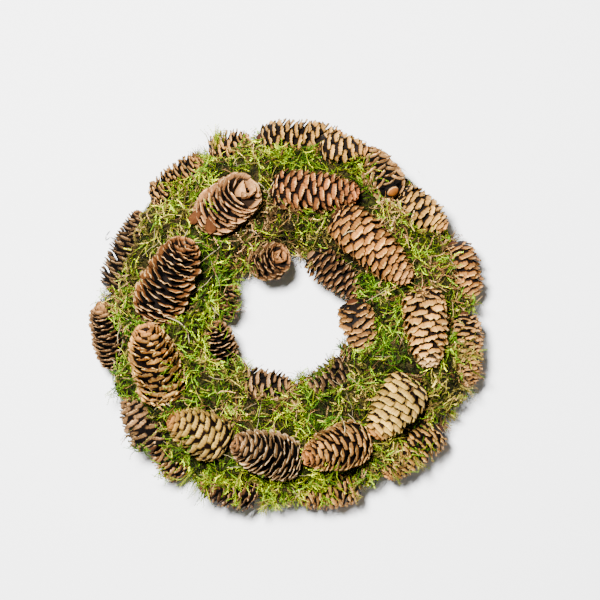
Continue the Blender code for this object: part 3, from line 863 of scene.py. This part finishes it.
def clear_of_cones(roots, ways, lengths):
    """How long each sprig may get before it meets a cone."""
    free = np.array(lengths)
    for i, (root, way) in enumerate(zip(roots, ways)):
        hit = CONE_SURFACES.ray_cast(Vector(root), Vector(way), float(lengths[i]))
        if hit[3] is not None:
            free[i] = hit[3]
    return free


# %% [markdown]
# ## Growing it in layers
# The old strands at the bottom are short and dense, and painted dark as shade. The young
# ones lie over them in loose tufts, longer, painted brighter as lit, and with room between
# them, so that one sees down to the dark. Some have lost their leaves and are only thin
# curled threads. Noise decides where a tuft stands up and where the moss is thin; a tuft
# is painted lighter as lit, the moss between tufts darker as shade, and a strand that
# starts lower darker as shade too. It is thin low down on the sides, where it was pressed
# against the straw.

# %% Grow the moss
# strands on a square millimetre, how far above the solid they start and how long they are,
# both in millimetres, how upright they are, how light they are painted, dark as shade low
# down and bright as lit on top, and the leaves on each
LAYERS = (
    (0.11, (-1.0, 1.5), (6.0, 12.0), (0.0, 0.8), 0.34, 6),
    (0.11, (0.5, 5.0), (9.0, 18.0), (-0.1, 0.6), 1.6, 11),
    (0.022, (1.5, 5.5), (10.0, 24.0), (0.0, 0.5), 1.6, 0),
)
# from and to which degree round the wreath moss is pressed in, and past how many millimetres
WIDEST = ((22, 66, 160.0), (120, 162, 160.0), (195, 250, 166.0))
PRESSED = 0.8  # how much of what stands out past that is pressed in
LOWEST = 0.4 * MM
TUFT_RISE = 4.0  # millimetres that the middle of a tuft stands higher
SHORTEST = 2.4 * MM  # where a cone leaves less room than this, no strand grows
HEADROOM = 2.6 * MM  # a root with less than this above it lies under a cone


def tufts_at(points):
    """How much of a tuft there is at each point, from broad noise and fine noise."""
    places = [Vector(point) for point in points]
    return np.array([noise.noise(p * 75.0) + 0.5 * noise.noise(p * 190.0) for p in places])


def held_in(points):
    """Presses the moss in where cones line the outside of the wreath."""
    plan, far = points[:, :2] - RING_MIDDLE, from_middle(points)
    heading = np.degrees(np.arctan2(plan[:, 1], plan[:, 0])) % 360
    for start, end, widest in WIDEST:
        over = np.maximum(far - widest * MM, 0) * ((heading > start) & (heading < end))
        points[:, :2] -= plan / far[:, None] * over[:, None] * PRESSED
    points[:, 2] = np.maximum(points[:, 2], LOWEST)


def bed_of(node):
    """The bed, dark with painted shade: the bunch's own outside, sunk a little and made lumpy."""
    triangles, _, _ = outside_of(node)
    mid = (triangles + np.roll(triangles, -1, 1)) / 2
    corner = [np.stack((triangles[:, i], mid[:, i], mid[:, i - 1]), 1) for i in range(3)]
    points = np.stack((*corner, mid), 1).reshape(-1, 3)
    out, _ = from_ring(points)
    lumps = sum(np.sin(points[:, i] * grains + i) for i, grains in enumerate((900, 830, 1010)))
    points = points - out * (1.8 + 0.5 * lumps)[:, None] * MM
    held_in(points)
    return points, [np.arange(len(points)).reshape(-1, 3)], np.zeros((len(points), 4))


def layer_of(node, layer, rng):
    density, rise, length, upright, shade, leaf_count = layer
    young = shade > 1
    roots, out = roots_on(node, density, rng)
    facing = rng.uniform(0, 1, len(roots)) < np.interp(out[:, 2], (-0.3, 0.3), (0.35, 1.0))
    roots, out = roots[facing], out[facing]
    tuft = tufts_at(roots)
    kept = (rng.uniform(0, 1, len(roots)) < 0.52 + 1.9 * tuft) | (not young)
    roots, out, tuft = roots[kept], out[kept], tuft[kept]
    ways = unit(lying(out, rng) + out * rng.uniform(*upright, (len(roots), 1)))
    risen = rng.uniform(0, 1, len(roots))
    high = np.interp(risen, (0, 1), rise) + TUFT_RISE * tuft * young
    starts = roots + out * high[:, None] * MM
    short = np.interp(from_middle(roots), (0.148, 0.165), (1.0, 0.55))  # towards the outside
    lengths = rng.uniform(*length, len(roots)) * MM * short
    free = clear_of_cones(starts, ways, lengths)
    above = clear_of_cones(roots + out * 0.4 * MM, out, np.full(len(roots), 4.0 * MM))
    kept = (free > SHORTEST) & ((above >= HEADROOM) | (not young))
    starts, ways, lengths, out = starts[kept], ways[kept], free[kept], out[kept]
    # painted light on tufts, painted shade between them and on strands that start low
    light = shade * np.clip(1.0 + 2.4 * tuft[kept], 0.2, 1.5)
    light = light * np.interp(risen[kept], (0, 1), (0.3, 1.38))
    tints = tints_at(starts, rng) * light[:, None]
    sag = -out * 0.5
    if leaf_count:
        steps = 4 if young else 3
        return sprigs(starts, ways, lengths, tints, rng, leaf_count, sag=sag, steps=steps)
    path = grown(starts, ways, lengths, rng.uniform(0.5, 3.0, len(starts)), sag, 6, rng)
    return [stems(path, 0.3 * MM, tints)]


def add_bunch(node, seed):
    rng = np.random.default_rng(500 + seed)
    parts = []
    for layer in LAYERS:
        parts += layer_of(node, layer, rng)
    for points, _, _ in parts:
        held_in(points)
    made = add_piece(node.replace("moss", "grown_moss"), parts, MOSS)
    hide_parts(node)
    return sum(len(face.vertices) - 2 for face in made.data.polygons)


BUNCHES = [f"moss_{number:02d}" for number in range(1, 13)]
moss_triangles = [add_bunch(node, seed) for seed, node in enumerate(BUNCHES)]
add_piece("packed_moss", [bed_of(node) for node in BUNCHES], PACKED_SHADE)
print("moss triangles:", sum(moss_triangles), "largest piece:", max(moss_triangles))

# %% [markdown]
# ## Moss that creeps over the cones
# Where moss is tucked round the cones it also lies over their edges, and single sprigs
# stick out of the wreath. A ray from the camera finds what is on top at each place, and
# the sprigs start there.

# %% Creeping and stray sprigs
# x and y, reach each way, all in millimetres, how many sprigs and of which kind
CREEPING = (
    (-93, 114, 12, 10, 60, "fresh"), (-72, 134, 8, 6, 26, "fresh"), (-9, 143, 10, 8, 44, "fresh"),
    (11, 139, 7, 4, 16, "green"), (57, 137, 7, 4, 16, "fresh"), (154, -33, 12, 18, 70, "olive"),
    (158, -58, 8, 9, 36, "dry"), (93, -131, 14, 8, 46, "olive"), (117, -122, 7, 6, 18, "green"),
    (27, -153, 21, 7, 56, "fresh"), (55, -147, 11, 6, 24, "olive"),
    (-55, -147, 24, 8, 190, "fresh"), (-73, -145, 9, 7, 44, "green"),
    (-50, 8, 8, 12, 34, "green"), (-56, -7, 6, 6, 14, "fresh"), (111, -58, 8, 5, 22, "dry"),
    (117, 18, 10, 5, 26, "dry"), (-100, -51, 7, 7, 26, "fresh"), (-113, -65, 5, 4, 8, "dry"),
    (-147, 13, 11, 8, 34, "olive"), (-156, -71, 6, 7, 18, "green"),
    (-131, -118, 6, 7, 18, "green"), (-109, -138, 8, 6, 20, "fresh"), (-23, 57, 8, 5, 16, "dry"),
    (37, -71, 11, 7, 22, "green"), (-23, -72, 12, 4, 18, "olive"), (53, -27, 5, 11, 18, "olive"),
    (-66, 97, 6, 4, 6, "fresh"), (37, -138, 14, 4, 18, "fresh"), (75, -133, 9, 6, 20, "dry"),
    (-16, -151, 11, 8, 30, "fresh"), (64, 130, 10, 6, 46, "fresh"), (72, 112, 7, 8, 46, "green"),
    (20, 84, 12, 8, 50, "green"), (6, 92, 10, 6, 34, "dry"), (-16, 88, 10, 8, 40, "dry"),
    (-94, -120, 8, 8, 40, "green"), (-142, -62, 8, 10, 44, "green"),
    (134, -82, 9, 9, 40, "olive"),
)
# from x and y, to x and y, in millimetres, how many sprigs and of which kind
STRAY = (
    (-78, 137, -84, 147, 16, "dry"), (-71, 142, -76, 153, 16, "olive"),
    (-64, 148, -62, 168, 26, "fresh"), (-60, 152, -57, 165, 8, "dry"),
    (-62, 153, -59, 176, 1, "dry"), (-23, -164, -17, -181, 20, "fresh"),
    (-16, -164, -26, -177, 14, "olive"), (-12, -162, -8, -175, 8, "fresh"),
    (-81, -153, -79, -176, 6, "fresh"), (-73, -155, -78, -171, 8, "green"),
    (-84, -148, -90, -159, 14, "fresh"), (-89, -149, -97, -157, 10, "green"),
    (-136, -102, -147, -114, 6, "dry"), (-150, -65, -159, -76, 8, "green"),
    (-157, 20, -170, 16, 8, "olive"), (-155, 24, -166, 24, 6, "dry"),
    (-49, 22, -40, 19, 6, "fresh"), (-46, 30, -40, 24, 9, "fresh"),
    (-30, 42, -30, 32, 8, "green"), (42, -18, 49, -9, 8, "olive"),
    (11, -62, 14, -47, 14, "fresh"), (20, -60, 24, -47, 16, "green"),
    (27, -56, 34, -43, 16, "green"), (38, -46, 38, -32, 14, "olive"),
    (50, -32, 42, -26, 12, "green"), (10, 58, 12, 46, 10, "dry"), (21, 50, 22, 39, 8, "olive"),
    (7, -162, 14, -172, 12, "fresh"), (30, -161, 37, -171, 9, "fresh"),
    (92, -136, 103, -149, 8, "olive"), (110, -127, 121, -140, 8, "olive"),
    (142, -86, 153, -93, 20, "olive"), (138, -95, 147, -104, 16, "dry"),
    (162, -36, 173, -40, 9, "olive"), (162, -51, 174, -58, 9, "dry"),
    (160, -65, 170, -73, 12, "olive"), (55, -157, 66, -164, 6, "olive"),
    (-42, -162, -46, -171, 6, "fresh"), (144, 66, 156, 72, 12, "dry"),
    (-2, -157, 0, -171, 8, "green"),
)
TOP_SURFACES = surface_of(list(CONES) + BUNCHES)
EYE = np.array(camera.location)


def seen_at(places):
    """The points that the camera sees towards places halfway up, and the way out at each."""
    seen, out = [], []
    for x, y in places:
        aim = np.array((x * MM, y * MM, HALFWAY_UP))
        hit = TOP_SURFACES.ray_cast(Vector(EYE), Vector(unit(aim - EYE)))
        if hit[0] is not None:
            seen.append(hit[0][:])
            out.append(hit[1][:])
    return np.array(seen).reshape(-1, 3), np.array(out).reshape(-1, 3)


def kind_tints(kind, count, rng):
    """Tints for sprigs that are mostly of one kind."""
    weights = np.tile(USUAL * 0.5, (count, 1))
    weights[:, KINDS.index(kind)] += 1.2
    return drawn_tints(weights, rng) * 1.1


def creeping_parts(rng):
    parts = []
    for x, y, reach_x, reach_y, count, kind in CREEPING:
        spread = rng.normal(0, 0.5, (count, 2)) * (reach_x, reach_y)
        seen, out = seen_at(spread + (x, y))
        count = len(seen)
        ways = unit(lying(out, rng) + out * rng.uniform(0.0, 0.5, (count, 1)))
        starts = seen + out * rng.uniform(1.0, 4.5, (count, 1)) * MM
        lengths = rng.uniform(8.0, 15.0, count) * MM
        parts += sprigs(starts, ways, lengths, kind_tints(kind, count, rng), rng, sag=-out * 0.5)
    return parts


def rooted(place):
    """Moves a place towards the ring's centre line until the camera sees the wreath there."""
    line = unit(place) * RING_RADIUS / MM
    for share in np.linspace(0, 1, 21):
        seen, _ = seen_at([place + (line - place) * share])
        if len(seen):
            return seen[0]


def stray_parts(rng):
    parts = []
    for x, y, to_x, to_y, count, kind in STRAY:
        seen = np.array([rooted(place) for place in rng.normal(0, 1.2, (count, 2)) + (x, y)])
        way = unit(np.array((to_x - x, to_y - y, 1.5)))
        long = np.hypot(*(np.array((to_x, to_y)) * MM - seen[:, :2]).T)
        ways = unit(way + rng.normal(0, 0.25, (count, 3)))
        lengths = long * rng.uniform(0.75, 1.1, count)
        parts += sprigs(seen, ways, lengths, kind_tints(kind, count, rng), rng, curl=0.9)
    return parts


creeping = add_piece("creeping_moss", creeping_parts(np.random.default_rng(71)), MOSS)
stray = add_piece("stray_sprigs", stray_parts(np.random.default_rng(72)), MOSS)
for made in (creeping, stray):
    print(made.name, "faces:", len(made.data.polygons))

# %% [markdown]
# ## Loose scales
# Two broad scales have come off and hang below the stalk end of the cone that points up
# at the camera. A loose scale is the same plate as on a cone, with a rounder end.

# %% Loose scales
# x and y of the root end, the way it points on the floor, how far it is raised, length and
# half width
ON_THE_MOSS = ((-76, 95, 232, -30, 19, 4.4), (-68, 90, 268, -34, 20, 5.0))
ROUNDED = np.array([0.5, 0.88, 1.0, 0.9, 0.55])  # its breadth along its length


def loose_scale(x, y, heading, raised, length, half_width, rng):
    ahead, aside = way_of(heading, raised), way_of(heading + 90, 0)
    out = np.cross(ahead, aside)
    root = rooted(np.array((x, y)))
    offset = half_width * ROUNDED[:, None] * ACROSS
    along = ALONG[:, None] * length - np.where(AT_LIP, 0.7 * LIP_BACK * length, 0.0)
    dome = 1.2 * np.sin(ALONG[:, None] * 2.6) - offset**2 * 0.07
    flat = offset[..., None] * aside + along[..., None] * ahead
    sides = []
    for thick in (0.0, 0.9):
        sides.append(root + (flat + (2.0 + dome - thick)[..., None] * out) * MM)
    marks = np.empty((2, 5, 5, 4))
    marks[..., 0], marks[..., 1] = ALONG[:, None], ACROSS / 2 + 0.5
    marks[..., 2], marks[..., 3] = rng.uniform(0.4, 0.8), 0.3
    return np.stack(sides).reshape(-1, 3), [PLATE], marks.reshape(-1, 4)


scale_rng = np.random.default_rng(75)
loose_parts = [loose_scale(*row, scale_rng) for row in ON_THE_MOSS]
loose = add_piece("loose_scales", loose_parts, FINISHES["red_scale"], sharp_above=SHARP)

# %% [markdown]
# ## Dry stalks
# A few stalks of dead grass and bare twigs were picked up with the moss. Those that
# catch the eye are laid one by one from end to end over whatever lies below. The rest
# are strewn.

# %% Lay and strew the stalks
# from x and y, to x and y, how far it bends aside, all in millimetres, and tint
STALKS = (
    (-26, 117, -17, 109, 0, "pale"), (-10, 121, -18, 108, 0, "pale"),
    (-18, 109, -14, 99, 0, "pale"), (-110, -1, -87, -31, 2, "pale"),
    (46, -89, 50, -108, 1, "pale"), (49, 70, 61, 74, 1, "pale"), (85, 87, 97, 84, 0, "pale"),
    (-112, -75, -103, -84, 1, "pale"), (-156, -39, -149, -46, 0, "pale"),
    (-89, 89, -72, 99, 2, "brown"), (69, 13, 64, -7, 2, "pale"), (-3, -80, 15, -72, 2, "brown"),
    (-90, 57, -87, 77, 1, "pale"), (-44, 73, -23, 66, 2, "pale"), (-74, 13, -65, -7, 2, "pale"),
    (139, 47, 146, 31, 1, "brown"), (94, -3, 92, -26, 2, "brown"), (131, 70, 138, 55, 1, "pale"),
    (-95, -74, -81, -80, 1, "brown"),
)
STALK_TINTS = {"pale": paint(232, 212, 168), "brown": paint(138, 106, 74)}
STREWN = 0.0016  # stalks on a square millimetre


def laid_stalks(rng):
    share = np.linspace(0, 1, 7)
    paths, tints = [], []
    for x, y, to_x, to_y, aside, tint in STALKS:
        line = np.array((x, y)) + np.outer(share, (to_x - x, to_y - y))
        line += np.outer(np.sin(share * math.pi), (y - to_y, to_x - x)) * 0.12 * aside
        seen, _ = seen_at(line)
        ends = seen[0, 2] + share * (seen[-1, 2] - seen[0, 2])
        seen[:, 2] = np.maximum(seen[:, 2], ends) + 1.6 * MM
        paths.append(seen)
        tints.append(np.array(STALK_TINTS[tint]) * rng.uniform(0.85, 1.15))
    return stems(np.array(paths), 0.6 * MM, np.array(tints), taper=0.7)


def strewn_stalks(rng):
    spread = [roots_on(node, STREWN, rng) for node in BUNCHES]
    roots, out = (np.concatenate(arrays) for arrays in zip(*spread))
    ways = unit(lying(out, rng) + out * 0.15)
    starts = roots + out * rng.uniform(3.0, 6.0, (len(roots), 1)) * MM
    far = np.abs(from_middle(roots) - RING_RADIUS)
    short = np.interp(far, (0.02, 0.045), (1.0, 0.3))  # towards the outside and the hole
    lengths = rng.uniform(12.0, 36.0, len(roots)) * MM * short
    lengths = clear_of_cones(starts, ways, lengths)
    path = grown(starts, ways, lengths, rng.uniform(0.1, 0.8, len(roots)), -out * 0.15, 6, rng)
    path[..., 2] = np.maximum(path[..., 2], 1.0 * MM)
    brown = rng.uniform(0, 1, (len(roots), 1)) < 0.4
    tints = np.where(brown, STALK_TINTS["brown"], STALK_TINTS["pale"])
    tints = tints * rng.uniform(0.45, 0.95, (len(roots), 1))
    return stems(path, rng.uniform(0.22, 0.42, len(roots)) * MM, tints, taper=0.6)


stalk_rng = np.random.default_rng(73)
stalks = add_piece("dry_stalks", [laid_stalks(stalk_rng), strewn_stalks(stalk_rng)], STALK)

# %% [markdown]
# ## The straw ring
# From behind one sees what carries the wreath: a ring of straw, bound hard. A straw
# runs along the ring for a while and ends between the others. Each one is a thin tube
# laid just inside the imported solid, found by a ray from the ring's centre line, so the
# bundle is drawn in where the wire runs round it. A sunken copy of the solid closes
# the gaps.

# %% Bundle the straw
STRAW_SURFACE = surface_of(["straw_ring"])
STRAWS = 430
BACK_FROM, BACK_TO = 212, 328  # degrees round the straw, from the hole over the back


def in_straw(turn, lower, depth):
    """A point at some depth in the ring, from directions round the wreath and round the straw."""
    plan = np.array((math.cos(turn), math.sin(turn), 0.0))
    middle = np.array((*(RING_MIDDLE + plan[:2] * RING_RADIUS), RING_HEIGHT))
    way = plan * math.cos(lower) + np.array((0.0, 0.0, math.sin(lower)))
    return middle + way * (STRAW_SURFACE.ray_cast(Vector(middle), Vector(way))[3] - depth)


def straw_paths(rng):
    turn = rng.uniform(0, math.tau, STRAWS)
    arc = np.radians(rng.uniform(22, 50, STRAWS))
    lower = np.radians(rng.uniform(BACK_FROM, BACK_TO, STRAWS))
    drift = np.radians(rng.normal(0, 2.5, STRAWS))
    thick = rng.uniform(0.7, 1.15, STRAWS) * MM
    deep = thick * 0.95 + rng.uniform(0.0, 0.8, STRAWS) * MM
    share = np.linspace(0, 1, 10)
    paths = [
        [in_straw(turn[i] + s * arc[i], lower[i] + s * drift[i], deep[i]) for s in share]
        for i in range(STRAWS)
    ]
    return np.array(paths), thick


def sunken_ring():
    points = corners_of("straw_ring")
    out, _ = from_ring(points)
    marks = np.tile((*paint(120, 92, 50), 0.3), (len(points), 1))
    return points - out * 1.7 * MM, [triangles_of("straw_ring")], marks


straw_rng = np.random.default_rng(74)
paths, thick = straw_paths(straw_rng)
paths[..., 2] = np.maximum(paths[..., 2], thick[:, None])
straw_tints = np.array(paint(214, 182, 118)) * straw_rng.uniform(0.6, 1.15, (STRAWS, 1))
straw_parts = [stems(paths, thick, straw_tints, taper=0.95), sunken_ring()]
straw = add_piece("bound_straw", straw_parts, STALK)
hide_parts("straw_ring")

# %% [markdown]
# ## The binding wire
# The wire's solid has only four sides. A subdivision modifier rounds it without any
# new mesh. Florist's wire is annealed, so it is dull grey and spotted, not bright.

# %% Round the wire and give it its finish
def wire_finish():
    made, tree, shader = new_tree("binding_steel", 0.5, 0.5)
    place = add_node(tree, "TexCoord").outputs["Object"]
    spots = noise_at(tree, place, 350.0, 4.0)
    colour = mixed(tree, ranged(tree, spots, 0.35, 0.7), paint(120, 122, 120), paint(84, 76, 66))
    tree.links.new(colour, shader.inputs["Base Color"])
    tree.links.new(ranged(tree, spots, 0.3, 0.7, 0.35, 0.65), shader.inputs["Roughness"])
    shader.inputs["Metallic"].default_value = 0.8
    return made


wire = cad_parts["binding_wire"]
wire.data.materials[0] = wire_finish()
rounding = wire.modifiers.new("rounding", "SUBSURF")
rounding.levels = rounding.render_levels = 1
